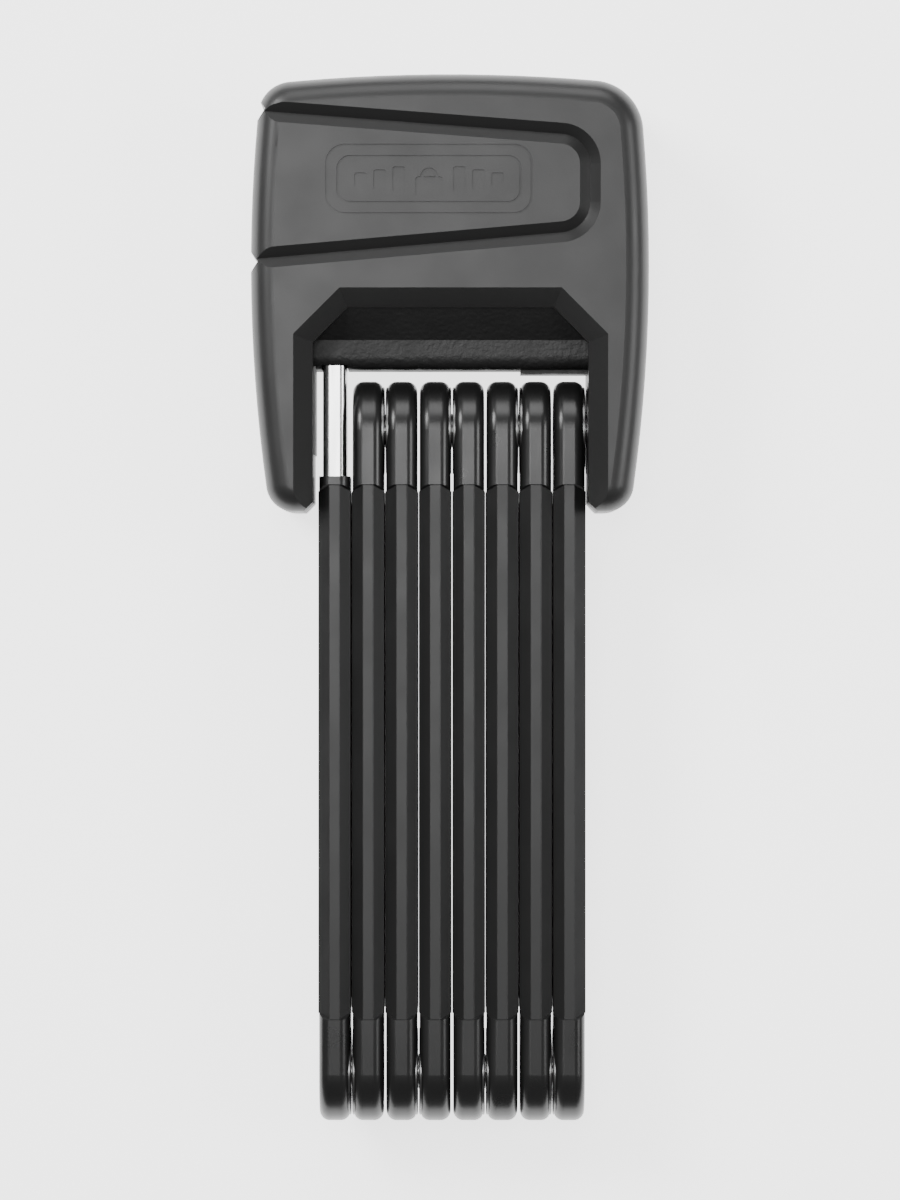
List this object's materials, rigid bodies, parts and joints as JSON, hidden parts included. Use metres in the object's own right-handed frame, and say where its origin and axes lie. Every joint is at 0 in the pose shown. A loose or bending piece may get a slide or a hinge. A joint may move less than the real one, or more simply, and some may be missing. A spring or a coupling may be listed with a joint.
{
  "type": "folding bike lock",
  "caption": "Folding bike lock: riveted flat steel bars in plastic sleeves, folded side by side under a two-legged lock head with a key cylinder, latch and alarm.",
  "frame": {"origin": "centre of the bounding box on the surface that the head's flat back lies on", "axes": "+X across the folded pack along the hinge axes, +Y towards the head's crown, +Z out of the head's front face"},
  "size_m": [0.0922, 0.2436, 0.038],
  "materials": {
    "link_steel": "hardened, lightly brushed",
    "sleeve": "soft satin",
    "end_cap": "satin",
    "washer": "polished",
    "rivet": "satin",
    "shell": "satin, finely textured",
    "frame_steel": "dark zinc",
    "liner": "textured",
    "cylinder": "turned",
    "battery": "wrapped",
    "holder": "plain",
    "board": "solder mask",
    "chips": "moulded",
    "siren": "moulded",
    "screw": "black zinc",
    "cover": "satin"
  },
  "bodies": {
    "head": {"front_shell": "shell", "rear_shell": "shell", "lock_frame": "frame_steel", "bay_liner": "liner", "head_washer": "washer", "cylinder_housing": "cylinder", "battery": "battery", "battery_holder": "holder", "battery_door": "shell", "circuit_board": "board", "board_chips": "chips", "siren": "siren", "shell_screws": "screw", "hinge_8_rivet": "rivet"},
    "key_barrel": {"cylinder_barrel": "cylinder", "lock_discs": "cylinder"},
    "latch": {"latch_bolt": "frame_steel"},
    "keyhole_slide": {"keyhole_cover": "cover"},
    "bar_1": {"bar_1_core": "link_steel", "bar_1_sleeve": "sleeve", "bar_1_end_caps": "end_cap", "bar_1_washers": "washer"},
    "bar_2": {"bar_2_core": "link_steel", "bar_2_sleeve": "sleeve", "bar_2_end_caps": "end_cap", "bar_2_washers": "washer", "hinge_1_rivet": "rivet"},
    "bar_3": {"bar_3_core": "link_steel", "bar_3_sleeve": "sleeve", "bar_3_end_caps": "end_cap", "bar_3_washers": "washer", "hinge_2_rivet": "rivet"},
    "bar_4": {"bar_4_core": "link_steel", "bar_4_sleeve": "sleeve", "bar_4_end_caps": "end_cap", "bar_4_washers": "washer", "hinge_3_rivet": "rivet"},
    "bar_5": {"bar_5_core": "link_steel", "bar_5_sleeve": "sleeve", "bar_5_end_caps": "end_cap", "bar_5_washers": "washer", "hinge_4_rivet": "rivet"},
    "bar_6": {"bar_6_core": "link_steel", "bar_6_sleeve": "sleeve", "bar_6_end_caps": "end_cap", "bar_6_washers": "washer", "hinge_5_rivet": "rivet"},
    "bar_7": {"bar_7_core": "link_steel", "bar_7_sleeve": "sleeve", "bar_7_end_caps": "end_cap", "bar_7_washers": "washer", "hinge_6_rivet": "rivet"},
    "bar_8": {"bar_8_core": "link_steel", "bar_8_sleeve": "sleeve", "bar_8_end_caps": "end_cap", "bar_8_washers": "washer", "hinge_7_rivet": "rivet"}
  },
  "joints": [
    {"name": "hinge_8", "type": "hinge", "parent": "head", "child": "bar_8", "pos_m": [0, 0.03965, 0.019], "axis": [-1, 0, 0], "range_deg": [0, 90]},
    {"name": "hinge_7", "type": "hinge", "parent": "bar_8", "child": "bar_7", "pos_m": [0, -0.11035, 0.019], "axis": [-1, 0, 0], "range_deg": [-180, 0]},
    {"name": "hinge_6", "type": "hinge", "parent": "bar_7", "child": "bar_6", "pos_m": [0, 0.03965, 0.019], "axis": [-1, 0, 0], "range_deg": [0, 90]},
    {"name": "hinge_5", "type": "hinge", "parent": "bar_6", "child": "bar_5", "pos_m": [0, -0.11035, 0.019], "axis": [-1, 0, 0], "range_deg": [-180, 0]},
    {"name": "hinge_4", "type": "hinge", "parent": "bar_5", "child": "bar_4", "pos_m": [0, 0.03965, 0.019], "axis": [-1, 0, 0], "range_deg": [0, 90]},
    {"name": "hinge_3", "type": "hinge", "parent": "bar_4", "child": "bar_3", "pos_m": [0, -0.11035, 0.019], "axis": [-1, 0, 0], "range_deg": [0, 180]},
    {"name": "hinge_2", "type": "hinge", "parent": "bar_3", "child": "bar_2", "pos_m": [0, 0.03965, 0.019], "axis": [-1, 0, 0], "range_deg": [-270, 0]},
    {"name": "hinge_1", "type": "hinge", "parent": "bar_2", "child": "bar_1", "pos_m": [0, -0.11035, 0.019], "axis": [-1, 0, 0], "range_deg": [0, 180]},
    {"name": "key_turn", "type": "hinge", "parent": "head", "child": "key_barrel", "pos_m": [-0.03, 0.09085, 0.019], "axis": [-1, 0, 0], "range_deg": [0, 90]},
    {"name": "latch_slide", "type": "slide", "parent": "head", "child": "latch", "axis": [0, 0, -1], "range_m": [0, 0.00453]},
    {"name": "cover_slide", "type": "slide", "parent": "head", "child": "keyhole_slide", "axis": [0, 1, 0], "range_m": [0, 0.013]}
  ],
  "couplings": [
    {"joint": "hinge_7", "follows": "hinge_8", "ratio": -2},
    {"joint": "hinge_6", "follows": "hinge_8", "ratio": 1},
    {"joint": "hinge_5", "follows": "hinge_8", "ratio": -2},
    {"joint": "hinge_4", "follows": "hinge_8", "ratio": 1},
    {"joint": "hinge_3", "follows": "hinge_8", "ratio": 2},
    {"joint": "hinge_2", "follows": "hinge_8", "ratio": -3},
    {"joint": "hinge_1", "follows": "hinge_8", "ratio": 2},
    {"joint": "key_turn", "follows": "latch_slide", "rad_per_m": 347.1}
  ]
}
